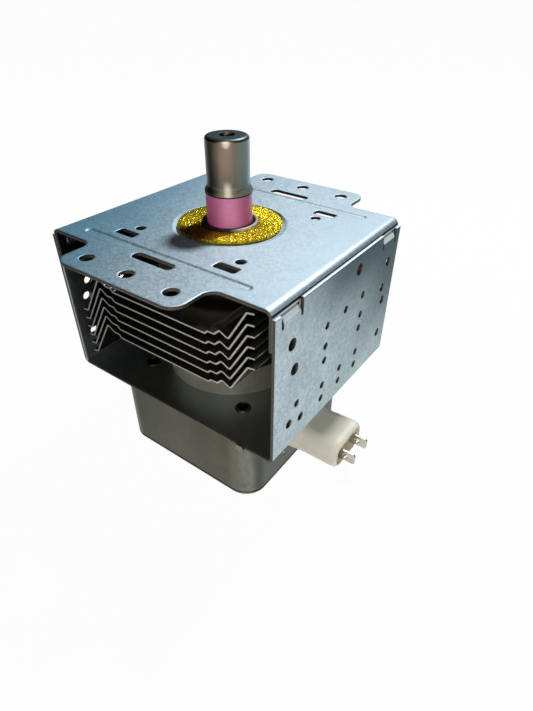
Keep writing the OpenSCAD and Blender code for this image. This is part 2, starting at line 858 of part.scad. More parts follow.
module upper_end_hat() color([0.58, 0.58, 0.58])
    translate([0, 0, anode_mid + hat_z]) {
        cylinder(d = hat_d, h = hat_t);
        translate([0, 0, hat_t - eps])
            cylinder(r1 = cathode_lead_d, r2 = cathode_lead_d - weld_h/4, h = weld_h);
    }

module lower_end_hat() color([0.58, 0.58, 0.58])
    difference() {
        translate([0, 0, anode_mid - hat_z - hat_t])
            cylinder(d = hat_d, h = hat_t);
        translate([0, 0, anode_mid - hat_z - 2*hat_t])
            cylinder(d = cathode_lead_d + 1, h = 3*hat_t);
    }

module centre_lead() color([0.55, 0.55, 0.56])
    rod([[0, 0, anode_mid + hat_z], [0, 0, lead_splay_z],
         [0, -stem_y, lead_set_z], [0, -stem_y, stem_bottom]], cathode_lead_d);

module side_lead() color([0.55, 0.55, 0.56])
    rod([[0, side_lead_y, anode_mid - hat_z - hat_t], [0, side_lead_y, lead_splay_z],
         [0, stem_y, lead_set_z], [0, stem_y, stem_bottom]], cathode_lead_d);

// Can with a flange under the lower pole piece and a tube that holds the stem's ceramic
module cathode_seal_can() color([0.78, 0.79, 0.79]) {
    flange_z = lower_magnet_z + can_t;
    end_z = stem_top - stem_lap;
    rotate_extrude()
        polygon([[can_r - can_t, flange_z], [anode_d/2, flange_z], [anode_d/2, lower_magnet_z],
                 [can_r, lower_magnet_z], [can_r, end_z], [can_r - can_t, end_z]]);
}

module stem_ceramic() color([0.9, 0.88, 0.84])
    difference() {
        translate([0, 0, stem_bottom])
            cylinder(r = stem_r, h = stem_top - stem_bottom);
        for (s = [-1, 1])
            translate([0, s*stem_y, stem_bottom - 1])
                cylinder(d = cathode_lead_d + 2*fit_gap, h = stem_top - stem_bottom + 2);
    }

module stem_terminals() color([0.7, 0.7, 0.68])
    for (s = [-1, 1])
        translate([0, s*stem_y, 0]) {
            translate([0, 0, stem_bottom - washer_t])
                cylinder(d = washer_d, h = washer_t);
            translate([0, 0, choke_top])
                cylinder(d = pin_d, h = stem_bottom - choke_top - pin_lap);
        }

// Chokes: each wire runs from a stem terminal, round its core and onto a blade

function choke_path(y, n) = concat(
    [[[-1, y, terminal_z + choke_r], [0, 0, 1]]],
    [for (i = [0 : choke_turns*n])
        let (a = 360*i/n, out = [0, sin(a), cos(a)])
        [out*choke_r + [choke_x + choke_pitch*i/n, y, terminal_z], out]],
    [[[choke_lead_end, y, terminal_z + choke_r], [0, 0, 1]]]);

module choke_coil(y) color([0.72, 0.42, 0.24])
    wire(choke_path(y, 12), choke_wire_d, 6);

module choke_core(y) color([0.3, 0.29, 0.29])
    translate([choke_x - 0.5, y, terminal_z])
        rotate([0, 90, 0])
            cylinder(r = choke_r - choke_wire_d/2 - 2*fit_gap, h = choke_l + 1);

module choke_coil_front() choke_coil(-blade_pitch/2);
module choke_coil_back() choke_coil(blade_pitch/2);
module choke_core_front() choke_core(-blade_pitch/2);
module choke_core_back() choke_core(blade_pitch/2);

// Filter box

// Collar drawn up from the box through the yoke and flared over its floor
module clinched_collar() {
    difference() {
        union() {
            translate([0, 0, -box_t])
                cylinder(d = clinch_d, h = box_t + sheet_t + clinch_rise);
            translate([0, 0, sheet_t])
                cylinder(r1 = clinch_d/2 + clinch_flare, r2 = clinch_d/2, h = clinch_rise);
        }
        translate([0, 0, -2*box_t])
            cylinder(d = clinch_bore_d, h = 4*box_t + sheet_t);
    }
}

// Tongue that runs out under the yoke and hooks over its edge
module tongue() {
    reach = frame_d/2 + fit_gap;
    root = box_d/2 - box_r - tongue_root;
    translate([tongue_x, root, -box_t])
        cube([tongue_w, reach - root + box_t, box_t]);
    translate([tongue_x + tongue_w/2, reach + box_t/2, sheet_t + tongue_rise])
        along_y(box_t)
            hanging_block(tongue_w, box_t + sheet_t + tongue_rise, tongue_r);
}

module filter_box() color([0.5, 0.48, 0.43]) {
    difference() {
        union() {
            translate([0, 0, lid_z])
                linear_extrude(box_top - lid_z)
                    rounded_rect(box_w, box_d, box_r);
            translate([0, 0, box_top])
                for (turn = [0, 180])
                    rotate([0, 0, turn])
                        mirror([1, 0, 0])
                            tongue();
        }
        translate([0, 0, lid_z - 1])
            linear_extrude(box_top - box_t - lid_z + 1)
                rounded_rect(box_w - 2*box_t, box_d - 2*box_t, box_r - box_t);
        translate([0, 0, lid_z - eps])
            linear_extrude(seam_h + eps)
                difference() {
                    square([box_w + 2, box_d + 2], center = true);
                    rounded_rect(box_w - box_t, box_d - box_t, box_r - box_t/2);
                }
        translate([0, 0, box_top - 2*box_t])
            cylinder(r = stem_hole_r, h = 3*box_t);
        at_corners(clinch_pitch_x/2, clinch_pitch_y/2)
            translate([0, 0, box_top - 2*box_t])
                cylinder(d = clinch_bore_d, h = 3*box_t);
        translate([0, 0, terminal_z])
            along_x(box_x - 2*box_t, box_x + 1)
                rounded_rect(spigot_w + 2*slot_gap, spigot_h + 2*slot_gap, 3);
        at_rivets()
            cylinder(d = rivet_d + 2*fit_gap, h = 4*box_t, center = true);
    }
    at_corners(clinch_pitch_x/2, clinch_pitch_y/2)
        translate([0, 0, box_top])
            clinched_collar();
}

// Places of the capacitor's rivets on the box's wall, with +z along +x
module at_rivets() {
    for (sy = [-1, 1], sz = [-1, 1])
        translate([box_x, sy*rivet_y, terminal_z + sz*rivet_z])
            rotate([0, 90, 0])
                children();
}

// Pressed cover whose rim stops short of the capacitor's plate
module filter_box_lid() color([0.5, 0.48, 0.43]) {
    inner_w = box_w - 2*box_t - 2*slot_gap;
    inner_d = box_d - 2*box_t - 2*slot_gap;
    inner_r = box_r - box_t - slot_gap;
    translate([0, 0, box_bottom]) {
        linear_extrude(box_t)
            rounded_rect(box_w, box_d, box_r);
        difference() {
            linear_extrude(box_t + lid_rim_h)
                rounded_rect(inner_w, inner_d, inner_r);
            translate([0, 0, box_t])
                linear_extrude(lid_rim_h + 1)
                    rounded_rect(inner_w - 2*box_t, inner_d - 2*box_t, inner_r - box_t);
            translate([box_x - 3*box_t, -capacitor_plate_w/2 - 1, box_t])
                cube([3*box_t, capacitor_plate_w + 2, lid_rim_h + 1]);
        }
    }
}

// Connector and feed-through capacitor

module blade_slots(x0, x1) {
    for (s = [-1, 1])
        along_x(x0, x1)
            translate([s*blade_pitch/2, 0])
                square([blade_t + 2*slot_gap, blade_h + 2*slot_gap], center = true);
}

// Slice of the connector at x, grown on every side and raised on top
module block_slice(x, grow, lift) {
    along_x(x - eps, x)
        translate([0, lift/2])
            rounded_rect(block_w + 2*grow, block_h + 2*grow + lift, block_r);
}

// Connector with a flared foot, a waist and a mouth with a rounded edge
module terminal_block() color([0.9, 0.87, 0.8])
    translate([0, 0, terminal_z])
        difference() {
            union() {
                hull() {
                    block_slice(box_x + eps, foot_grow, 0);
                    block_slice(box_x + foot_l, 0, 0);
                }
                hull() {
                    block_slice(box_x + foot_l, 0, 0);
                    block_slice(block_end - mouth_l, 0, mouth_lift);
                }
                hull() {
                    block_slice(block_end - mouth_l, 0, mouth_lift);
                    block_slice(block_end - mouth_l/3, -mouth_round/4, mouth_lift);
                }
                hull() {
                    block_slice(block_end - mouth_l/3, -mouth_round/4, mouth_lift);
                    block_slice(block_end, -mouth_round, mouth_lift);
                }
                along_x(plate_x, box_x + 1)
                    rounded_rect(spigot_w, spigot_h, 3);
            }
            for (s = [-1, 1])
                along_x(block_end - cavity_depth, block_end + 1)
                    translate([s*blade_pitch/2, 0])
                        rounded_rect(cavity_w, cavity_h, cavity_r);
            along_x(block_end - mouth_depth, block_end + 1)
                square([blade_pitch, cavity_h], center = true);
            blade_slots(plate_x - 1, block_end);
        }

module capacitor_plate() color([0.72, 0.72, 0.7]) {
    translate([0, 0, terminal_z])
        difference() {
            along_x(plate_x, plate_x + box_t)
                rounded_rect(capacitor_plate_w, capacitor_plate_h, 2);
            along_x(plate_x - 1, plate_x + box_t + 1)
                rounded_rect(spigot_w + 2*slot_gap, spigot_h + 2*slot_gap, 3);
        }
    at_rivets()
        translate([0, 0, -1.5*box_t])
            cylinder(d = rivet_d, h = 1.1*box_t);
}

module capacitor_ceramic() color([0.55, 0.4, 0.3])
    translate([0, 0, terminal_z])
        difference() {
            along_x(case_x + case_wall, plate_x)
                rounded_rect(capacitor_w, capacitor_h, 3);
            blade_slots(case_x, plate_x + 1);
        }

module capacitor_case() color([0.86, 0.84, 0.78])
    translate([0, 0, terminal_z])
        difference() {
            along_x(case_x, plate_x)
                rounded_rect(capacitor_w + 2*case_wall, capacitor_h + 2*case_wall, 3 + case_wall);
            along_x(case_x + case_wall, plate_x + 1)
                rounded_rect(capacitor_w + 2*slot_gap, capacitor_h + 2*slot_gap, 3);
            blade_slots(case_x - 1, plate_x);
        }

// Pierced blade with a chamfered tip, running from the choke to the outside
module terminal_blade(y) color([0.74, 0.72, 0.66]) {
    tip = 0.6;
    half = blade_h/2;
    translate([0, y, terminal_z])
        difference() {
            along_y(blade_t)
                polygon([[blade_start, -half], [blade_end - tip, -half], [blade_end, tip - half],
                         [blade_end, half - tip], [blade_end - tip, half], [blade_start, half]]);
            translate([blade_end - blade_hole_back, 0, 0])
                rotate([90, 0, 0])
                    cylinder(d = blade_hole_d, h = 3*blade_t, center = true);
        }
}

module terminal_blade_front() terminal_blade(-blade_pitch/2);
module terminal_blade_back() terminal_blade(blade_pitch/2);

top_plate();
yoke_frame();
rf_gasket();
antenna_seal_can();
antenna_ceramic();
antenna_cap();
exhaust_tube();
antenna_lead();
upper_magnet();
lower_magnet();
fin(1);  // fin_1
fin(2);  // fin_2
fin(3);  // fin_3
fin(4);  // fin_4
fin(5);  // fin_5
fin(6);  // fin_6
anode_cylinder();
anode_vanes();
strap_rings();
upper_pole_piece();
lower_pole_piece();
filament();
upper_end_hat();
lower_end_hat();
centre_lead();
side_lead();
cathode_seal_can();
stem_ceramic();
stem_terminals();
choke_coil_front();
choke_coil_back();
choke_core_front();
choke_core_back();
filter_box();
filter_box_lid();
terminal_block();
capacitor_plate();
capacitor_ceramic();
capacitor_case();
terminal_blade_front();
terminal_blade_back();
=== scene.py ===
"""Magnetron: finishes of every surface, the gasket's knitted wire, studio light and camera.

Metres, in the part's own frame: the origin is the antenna's axis at the mounting face, +Z runs
along the antenna and +X points to the terminals.
"""

import json
import math

import bpy
import numpy as np
from mathutils import Matrix, Vector


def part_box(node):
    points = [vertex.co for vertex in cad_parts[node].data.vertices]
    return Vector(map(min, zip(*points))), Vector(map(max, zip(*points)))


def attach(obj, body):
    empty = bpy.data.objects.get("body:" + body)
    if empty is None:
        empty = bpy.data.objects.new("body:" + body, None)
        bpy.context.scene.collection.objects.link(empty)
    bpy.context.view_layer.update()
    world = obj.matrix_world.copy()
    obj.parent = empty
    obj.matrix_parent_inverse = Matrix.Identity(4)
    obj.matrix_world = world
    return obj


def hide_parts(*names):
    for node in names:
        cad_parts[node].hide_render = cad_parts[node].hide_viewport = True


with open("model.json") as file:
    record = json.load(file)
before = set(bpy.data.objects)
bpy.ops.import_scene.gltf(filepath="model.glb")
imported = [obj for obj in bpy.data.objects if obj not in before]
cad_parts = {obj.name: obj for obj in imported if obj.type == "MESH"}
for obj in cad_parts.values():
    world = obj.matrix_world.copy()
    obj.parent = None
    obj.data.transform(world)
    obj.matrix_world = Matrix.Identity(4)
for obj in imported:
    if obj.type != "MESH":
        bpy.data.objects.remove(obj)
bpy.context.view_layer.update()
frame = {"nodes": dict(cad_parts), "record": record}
NODES = frame["nodes"]
MM = 0.001

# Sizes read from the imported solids
PLATE_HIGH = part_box("top_plate")[1]
YOKE_LOW, YOKE_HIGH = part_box("yoke_frame")
GASKET_LOW, GASKET_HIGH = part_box("rf_gasket")
LID_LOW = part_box("filter_box_lid")[0]
BOX_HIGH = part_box("filter_box")[1]
CAP_LOW, CAP_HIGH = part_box("antenna_cap")
SHEET_BEND = 2.4*MM

# Directions in the part's own frame: from left to right across the camera's view, the side of the
# gasket with a painted shadow, and the lit side of the seal can, with painted shade on the rest
ACROSS_VIEW = (0.77, 0.64, 0.0)
SHADOWED_SIDE = (-0.25, -0.968, 0.0)
LIT_SIDE = (0.82, 0.57, 0.0)

# The gasket's bore, how far its front is drawn in at the bore and at the rim, and the turn from
# there to +X
GASKET_BORE_R = 10.05*MM
GASKET_BORE_DRAW, GASKET_RIM_DRAW = 0.8*MM, 1.5*MM
GASKET_DRAW_TURN = math.radians(58)


# Shader helpers

class Tree:
    """Makes and wires the nodes of one shader tree."""

    def __init__(self, tree):
        self.tree = tree

    def add(self, kind, inputs=None, **settings):
        """A node of the given kind. An input takes a number, a colour or another node's output."""
        node = self.tree.nodes.new("ShaderNode" + kind)
        for name, value in settings.items():
            setattr(node, name, value)
        self.fill(node, inputs or {})
        return node

    def fill(self, node, inputs):
        """Sets or wires the inputs of a node."""
        for key, value in inputs.items():
            if isinstance(value, bpy.types.NodeSocket):
                self.link(value, node.inputs[key])
            else:
                node.inputs[key].default_value = value

    def math(self, operation, a, b=0.0, clamp=False):
        """Result of one sum on a and b."""
        return self.add("Math", {0: a, 1: b}, operation=operation, use_clamp=clamp).outputs[0]

    def mix(self, factor, a, b, blend="MIX"):
        """Colour between a and b."""
        node = self.add("Mix", data_type="RGBA", blend_type=blend)
        self.fill(node, {0: factor, 6: a, 7: b})
        return node.outputs[2]

    def ramp(self, value, low, high, to_low=0.0, to_high=1.0):
        """The value carried from low..high to to_low..to_high, with soft ends."""
        node = self.add("MapRange", {"Value": value, "From Min": low, "From Max": high,
                                     "To Min": to_low, "To Max": to_high},
                        interpolation_type="SMOOTHSTEP")
        return node.outputs["Result"]

    def noise(self, vector, scale, detail=2.0, roughness=0.5):
        """Soft noise, about 0.5 on average."""
        node = self.add("TexNoise", {"Vector": vector, "Scale": scale, "Detail": detail,
                                     "Roughness": roughness})
        return node.outputs["Fac"]

    def stretched(self, vector, x, y, z):
        """The coordinates scaled by x, y and z."""
        return self.add("Mapping", {"Vector": vector, "Scale": (x, y, z)}).outputs["Vector"]

    def axes(self, vector):
        """The vector's X, Y and Z."""
        return self.add("SeparateXYZ", {"Vector": vector}).outputs

    def along(self, vector, way):
        """How far the vector reaches along a way."""
        node = self.add("VectorMath", {0: vector, 1: way}, operation="DOT_PRODUCT")
        return node.outputs["Value"]

    def length(self, a, b):
        """Length of the vector (a, b)."""
        squares = self.math("ADD", self.math("POWER", a, 2.0), self.math("POWER", b, 2.0))
        return self.math("SQRT", squares)

    def left_of(self, value):
        """What a value leaves of 1."""
        return self.math("SUBTRACT", 1.0, value)

    def link(self, value, socket):
        """Wires a node's output to a socket."""
        self.tree.links.new(value, socket)


def rgb(red, green, blue):
    """A colour written as it shows on a screen, 0 to 255, turned into linear light."""
    def linear(value):
        share = value/255
        return share/12.92 if share <= 0.04045 else ((share + 0.055)/1.055)**2.4
    return (linear(red), linear(green), linear(blue), 1.0)


def new_group(name, inputs, outputs):
    """An empty node group with named sockets: its tree, its input node and its output node."""
    tree = bpy.data.node_groups.new(name, "ShaderNodeTree")
    kinds = {"value": "NodeSocketFloat", "vector": "NodeSocketVector"}
    for label, (kind, default) in inputs.items():
        socket = tree.interface.new_socket(label, in_out="INPUT", socket_type=kinds[kind])
        if default is not None:
            socket.default_value = default
    for label, kind in outputs.items():
        tree.interface.new_socket(label, in_out="OUTPUT", socket_type=kinds[kind])
    start = tree.nodes.new("NodeGroupInput")
    end = tree.nodes.new("NodeGroupOutput")
    return tree, start.outputs, end.inputs


def place_group(t, group, inputs):
    """The outputs of a group whose inputs are filled."""
    node = t.add("Group", node_tree=group)
    t.fill(node, inputs)
    return node.outputs


def make_zinc_spangle():
    """Zinc coating: soft clouds, flat crystals and fine grain, each from 0 to 1."""
    group, given, out = new_group(
        "zinc_spangle",
        {"Vector": ("vector", None), "Crystal": ("value", 400.0), "Grain": ("value", 3000.0)},
        {"Cloud": "value", "Crystal": "value", "Grain": "value"})
    t = Tree(group)
    cloud = t.noise(given["Vector"], 45.0, 3.0, 0.55)
    t.link(t.ramp(cloud, 0.3, 0.7), out["Cloud"])
    cells = t.add("TexVoronoi", {"Vector": given["Vector"], "Scale": given["Crystal"]})
    split = t.add("SeparateColor", {"Color": cells.outputs["Color"]})
    t.link(split.outputs["Red"], out["Crystal"])
    grain = t.noise(given["Vector"], given["Grain"], 1.0, 0.6)
    t.link(t.ramp(grain, 0.3, 0.72), out["Grain"])
    return group


def make_sheared_edge():
    """Mask of a folded sheet's cut edges and hole walls: where the surface turns away from the
    sheet's own faces. The web's faces look along Z, the walls' along X, and the bends between
    them have edges only along Y."""
    group, given, out = new_group(
        "sheared_edge",
        {"Web": ("value", 0.04), "Bend Level": ("value", 0.0), "Wall Side": ("value", 1.0)},
        {"Mask": "value"})
    t = Tree(group)
    place = t.add("TexCoord")
    here = t.axes(place.outputs["Object"])
    facing = t.axes(place.outputs["Normal"])
    web = t.math("LESS_THAN", t.math("ABSOLUTE", here["X"]), given["Web"])
    above = t.math("SUBTRACT", here["Z"], given["Bend Level"])
    past = t.math("MULTIPLY", above, given["Wall Side"])
    wall = t.math("MULTIPLY", t.left_of(web), t.math("GREATER_THAN", past, 0.0))
    bend = t.left_of(t.math("ADD", web, wall))
    on_web = t.math("MULTIPLY", web, t.left_of(t.math("ABSOLUTE", facing["Z"])))
    upper = t.math("MULTIPLY", t.math("GREATER_THAN", here["Z"], -3*MM),
                   t.math("GREATER_THAN", facing["Z"], 0.5))
    on_wall = t.math("MULTIPLY", wall, t.left_of(t.math("ABSOLUTE", facing["X"])))
    on_wall = t.math("MULTIPLY", on_wall, t.left_of(upper))
    on_bend = t.math("MULTIPLY", bend, t.math("ABSOLUTE", facing["Y"]))
    turned = t.math("ADD", on_web, t.math("ADD", on_wall, on_bend))
    t.link(t.math("GREATER_THAN", turned, 0.5), out["Mask"])
    return group


def make_handling_marks():
    """Mask of faint smears and rubbed patches left by handling."""
    group, given, out = new_group(
        "handling_marks", {"Vector": ("vector", None), "Size": ("value", 90.0)}, {"Mask": "value"})
    t = Tree(group)
    broad = t.noise(given["Vector"], given["Size"], 4.0, 0.6)
    streak = t.noise(t.stretched(given["Vector"], 260.0, 900.0, 900.0), 1.0, 2.0, 0.5)
    joined = t.math("MULTIPLY", t.ramp(broad, 0.42, 0.68), t.ramp(streak, 0.35, 0.75))
    t.link(joined, out["Mask"])
    return group


SPANGLE = make_zinc_spangle()
SHEARED = make_sheared_edge()
MARKS = make_handling_marks()


def new_material(name):
    """An empty material with a Principled shader: its tree helper and the shader node."""
    material = bpy.data.materials.new(name)
    material.use_nodes = True
    t = Tree(material.node_tree)
    shader = material.node_tree.nodes["Principled BSDF"]
    return material, t, shader


def relief(t, height, strength, distance, edge_radius=0.0):
    """Normal from a height, over edges that are rounded by edge_radius."""
    inputs = {"Height": height, "Strength": strength, "Distance": distance}
    if edge_radius:
        rounded = t.add("Bevel", {"Radius": edge_radius}, samples=8)
        inputs["Normal"] = rounded.outputs["Normal"]
    return t.add("Bump", inputs).outputs["Normal"]


# Finishes

def turned_inward(t, here, facing):
    """How far a face looks towards the middle between the side walls."""
    outward = t.math("MULTIPLY", facing["X"], t.math("SIGN", here["X"]))
    return t.math("MULTIPLY", outward, -1.0)


def plate_tone_and_painted_light(t, here, facing, colour):
    """The top plate's colour, its hidden share and its brightened share: painted light that makes
    it bluer and deeper towards the left front corner and greyer towards the right back one, painted
    shade on the dish's back slope with the rest of that slope less metallic, painted shade in the
    gap above the yoke's walls, and darker and smoother on its under side and inside its flanges."""
    # Painted light: bluer and deeper towards the left front corner, greyer towards the right back
    # one
    slant = t.math("ADD", here["X"], t.math("MULTIPLY", here["Y"], 0.35))
    colour = t.mix(t.ramp(slant, -2*MM, -56*MM), colour, rgb(154, 206, 232))
    colour = t.mix(t.ramp(slant, 2*MM, 60*MM), colour, rgb(182, 199, 211))
    out = t.length(here["X"], here["Y"])
    ring = t.math("MULTIPLY", t.ramp(out, 17.5*MM, 18.5*MM), t.ramp(out, 21.6*MM, 20.6*MM))
    tilted = t.ramp(facing["Z"], 0.995, 0.9)
    behind = t.math("SUBTRACT", t.math("MULTIPLY", here["Y"], 0.8),
                    t.math("MULTIPLY", here["X"], 0.6))
    # Painted shade on the dish's back slope; the rest of the slope is made less metallic, so it
    # shows brighter
    slope = t.math("MULTIPLY", ring, tilted)
    shaded = t.ramp(behind, -2*MM, 12*MM)
    brightened = t.math("MULTIPLY", slope, t.left_of(shaded))
    colour = t.mix(t.math("MULTIPLY", slope, shaded), colour, rgb(96, 104, 110))
    # Painted shade in the gap between the plate's flange and the yoke's top edge
    flange_gap_shade = t.math("MULTIPLY", t.ramp(here["Z"], -1.25*MM, -1.5*MM),
                   t.ramp(here["Z"], -2.4*MM, -2.0*MM))
    flange_gap_shade = t.math("MULTIPLY", flange_gap_shade, t.ramp(t.math("ABSOLUTE", here["X"]), 45.8*MM, 46.2*MM))
    colour = t.mix(flange_gap_shade, colour, rgb(36, 38, 38))
    # Darker and smoother on the under side and inside the flanges
    inward = turned_inward(t, here, facing)
    hidden = t.ramp(t.math("MAXIMUM", inward, t.math("MULTIPLY", facing["Z"], -1.0)), 0.3, 0.8)
    hidden_share = t.math("MULTIPLY", hidden, t.ramp(here["Z"], -0.7*MM, -0.95*MM))
    return t.mix(hidden_share, colour, rgb(58, 56, 48)), hidden_share, brightened


def yoke_tone_and_painted_light(t, here, facing, colour):
    """The yoke's colour, its hidden share and its brightened share: painted shade at the upper back
    of its right wall, oily on the faces round the hollow, and painted white as a highlight on its
    lugs and upper edges."""
    # Painted shade at the upper back of the right wall
    band = t.math("MULTIPLY", t.ramp(here["Y"], -38*MM, 4*MM), t.ramp(here["Z"], -28*MM, -2*MM))
    far = t.math("MULTIPLY", t.ramp(here["Y"], -12*MM, 40*MM), t.ramp(here["Z"], -66*MM, -18*MM))
    clear = t.math("MULTIPLY", t.left_of(t.math("MULTIPLY", band, 0.9)),
                   t.left_of(t.math("MULTIPLY", far, 0.85)))
    dull_and_painted_light = t.math("MULTIPLY", t.left_of(clear), t.ramp(here["X"], 0*MM, 20*MM))
    colour = t.mix(dull_and_painted_light, colour, rgb(82, 106, 113), blend="MULTIPLY")
    inward = turned_inward(t, here, facing)
    hidden = t.ramp(t.math("MAXIMUM", inward, facing["Z"]), 0.3, 0.8)
    hidden_share = t.math("MULTIPLY", hidden, t.ramp(here["Z"], -3*MM, -5*MM))
    # Painted highlight: the lugs and upper edges are painted near white and made less metallic
    brightened = t.math("MULTIPLY", t.ramp(facing["Z"], 0.12, 0.35), t.ramp(here["Z"], -9*MM, -8*MM))
    colour = t.mix(hidden_share, colour, rgb(178, 190, 190))
    return t.mix(brightened, colour, rgb(232, 248, 255)), hidden_share, brightened


def zinc_sheet(name, dark, light, web, bend_level, wall_side, crystal, tone_and_light):
    """Zinc-coated sheet steel with bare sheared edges, painted darker to the left as painted shade,
    and rolled-over rims. The tone and painted light of each piece change the coat's colour and say
    which faces are hidden and which are brightened."""
    material, t, shader = new_material(name)
    place = t.add("TexCoord").outputs["Object"]
    here = t.axes(place)
    facing = t.axes(t.add("TexCoord").outputs["Normal"])
    coat = place_group(t, SPANGLE, {"Vector": place, "Crystal": crystal, "Grain": 2600.0})
    marks = place_group(t, MARKS, {"Vector": place, "Size": 70.0})
    cut = place_group(t, SHEARED, {"Web": web, "Bend Level": bend_level, "Wall Side": wall_side})
    tone = t.math("ADD", t.math("MULTIPLY", coat["Cloud"], 0.25),
                  t.math("MULTIPLY", coat["Crystal"], 0.4))
    tone = t.math("ADD", tone, t.math("MULTIPLY", coat["Grain"], 0.4), clamp=True)
    colour = t.mix(tone, dark, light)
    colour = t.mix(t.math("MULTIPLY", marks["Mask"], 0.25), colour, dark)
    colour, hidden_share, brightened = tone_and_light(t, here, facing, colour)
    bare = t.mix(coat["Grain"], rgb(68, 62, 55), rgb(110, 103, 94))
    # Painted shade: the cut edges darker towards the left
    bare = t.mix(t.ramp(here["X"], 30*MM, -34*MM), bare, rgb(27, 24, 20))
    colour = t.mix(cut["Mask"], colour, bare)
    t.link(colour, shader.inputs["Base Color"])
    rough = t.math("ADD", 0.52, t.math("MULTIPLY", coat["Crystal"], 0.08))
    rough = t.math("ADD", rough, t.math("MULTIPLY", marks["Mask"], 0.05))
    rough = t.math("SUBTRACT", rough, t.math("MULTIPLY", hidden_share, 0.2))
    t.link(rough, shader.inputs["Roughness"])
    metal = t.left_of(t.math("MULTIPLY", cut["Mask"], 0.4))
    metal = t.math("SUBTRACT", metal, t.math("MULTIPLY", brightened, 0.6), clamp=True)
    t.link(metal, shader.inputs["Metallic"])
    height = t.math("ADD", coat["Grain"], t.math("MULTIPLY", coat["Crystal"], 0.6))
    t.link(relief(t, height, 0.35, 0.03*MM, 0.95*MM), shader.inputs["Normal"])
    return material


def brushed_metal(name, dark, light, roughness, along):
    """Metal with fine drawn or rolled lines; along scales the coordinates across and along them."""
    material, t, shader = new_material(name)
    place = t.add("TexCoord").outputs["Object"]
    line = t.noise(t.stretched(place, *along), 1.0, 3.0, 0.6)
    cloud = t.noise(place, 60.0, 3.0, 0.55)
    marks = place_group(t, MARKS, {"Vector": place, "Size": 110.0})
    tone = t.math("ADD", t.math("MULTIPLY", t.ramp(line, 0.3, 0.7), 0.5),
                  t.math("MULTIPLY", t.ramp(cloud, 0.3, 0.7), 0.5))
    t.link(t.mix(tone, dark, light), shader.inputs["Base Color"])
    rough = t.math("ADD", roughness, t.math("MULTIPLY", marks["Mask"], 0.12))
    rough = t.math("ADD", rough, t.math("MULTIPLY", t.math("SUBTRACT", line, 0.5), 0.2))
    t.link(rough, shader.inputs["Roughness"])
    shader.inputs["Metallic"].default_value = 1.0
    t.link(relief(t, line, 0.2, 0.02*MM, 0.15*MM), shader.inputs["Normal"])
    return material


def cap_tone_and_painted_light(name):
    """Drawn stainless cap: olive, with painted reflections and painted shade across the view: a
    rose band on the front, black on one side and grey-green to blue on the other; a cold grey
    crown, a duller foot painted paler as a painted reflection, painted highlights in front on foot
    and shoulder, and faint drawing lines."""
    material, t, shader = new_material(name)
    place = t.add("TexCoord")
    across = t.along(place.outputs["Object"], ACROSS_VIEW)
    here = t.axes(place.outputs["Object"])
    facing = t.axes(place.outputs["Normal"])
    line = t.noise(t.stretched(place.outputs["Object"], 700.0, 700.0, 30.0), 1.0, 3.0, 0.6)
    cloud = t.noise(place.outputs["Object"], 140.0, 3.0, 0.55)
    across = t.math("ADD", across, t.math("MULTIPLY", t.math("SUBTRACT", cloud, 0.5), 1.5*MM))
    olive = t.mix(t.ramp(line, 0.3, 0.7), rgb(112, 105, 89), rgb(130, 122, 105))
    # Painted reflections across the view: a rose band on the front, grey-green and then blue
    # towards the right side
    rose_reflection = t.math("MULTIPLY", t.ramp(across, -4.2*MM, -1.2*MM), t.ramp(across, 2.6*MM, 0*MM))
    rose_reflection = t.math("MULTIPLY", rose_reflection, t.ramp(here["Z"], CAP_LOW.z + 4*MM, CAP_LOW.z + 11*MM))
    colour = t.mix(rose_reflection, olive, rgb(144, 122, 108))
    colour = t.mix(t.ramp(across, 2*MM, 4.5*MM), colour, rgb(108, 119, 112))
    colour = t.mix(t.ramp(across, 6.2*MM, 7.2*MM), colour, rgb(122, 150, 170))
    # Painted reflection: the foot paler in front and greyer to the right; it is also rougher and
    # less metallic
    foot = t.ramp(here["Z"], CAP_LOW.z + 3.6*MM, CAP_LOW.z + 2.4*MM)
    foot_reflection = t.mix(t.ramp(across, 0*MM, 5*MM), rgb(164, 154, 134), rgb(122, 130, 122))
    colour = t.mix(foot, colour, foot_reflection)
    # Painted highlights in front on the foot and at the shoulder
    aside = t.math("ABSOLUTE", t.math("ADD", across, 0.4*MM))
    low = t.math("MULTIPLY", t.ramp(aside, 1.9*MM, 0.2*MM),
                 t.ramp(here["Z"], CAP_LOW.z + 6*MM, CAP_LOW.z + 2*MM))
    above = t.math("SUBTRACT", here["Z"], CAP_HIGH.z - 1.35*MM)
    away = t.length(aside, above)
    painted_highlight = t.math("MAXIMUM", low, t.ramp(away, 1.7*MM, 0.2*MM))
    colour = t.mix(painted_highlight, colour, rgb(252, 242, 224))
    # Painted shade: black towards the left side
    colour = t.mix(t.ramp(across, -1.8*MM, -6.2*MM), colour, rgb(8, 8, 6))
    rim = t.ramp(here["Z"], CAP_LOW.z + 0.5*MM, CAP_LOW.z + 0.25*MM)
    colour = t.mix(rim, colour, rgb(34, 30, 26))
    crown = t.ramp(facing["Z"], 0.45, 0.8)
    high = t.ramp(here["Z"], CAP_LOW.z + 8*MM, CAP_LOW.z + 12*MM)
    crown = t.math("MULTIPLY", crown, high)
    colour = t.mix(crown, colour, rgb(98, 112, 117))
    t.link(colour, shader.inputs["Base Color"])
    rough = t.math("ADD", 0.28, t.math("MULTIPLY", line, 0.1))
    rough = t.math("ADD", rough, t.math("MULTIPLY", crown, 0.14))
    rough = t.math("ADD", rough, t.math("MULTIPLY", foot, 0.2))
    t.link(rough, shader.inputs["Roughness"])
    # Less metallic on the duller foot and on the painted highlights
    dull_and_painted_light = t.math("MAXIMUM", t.math("MULTIPLY", foot, 0.4), t.math("MULTIPLY", painted_highlight, 0.6))
    t.link(t.left_of(dull_and_painted_light), shader.inputs["Metallic"])
    t.link(relief(t, line, 0.06, 0.02*MM, 0.3*MM), shader.inputs["Normal"])
    return material


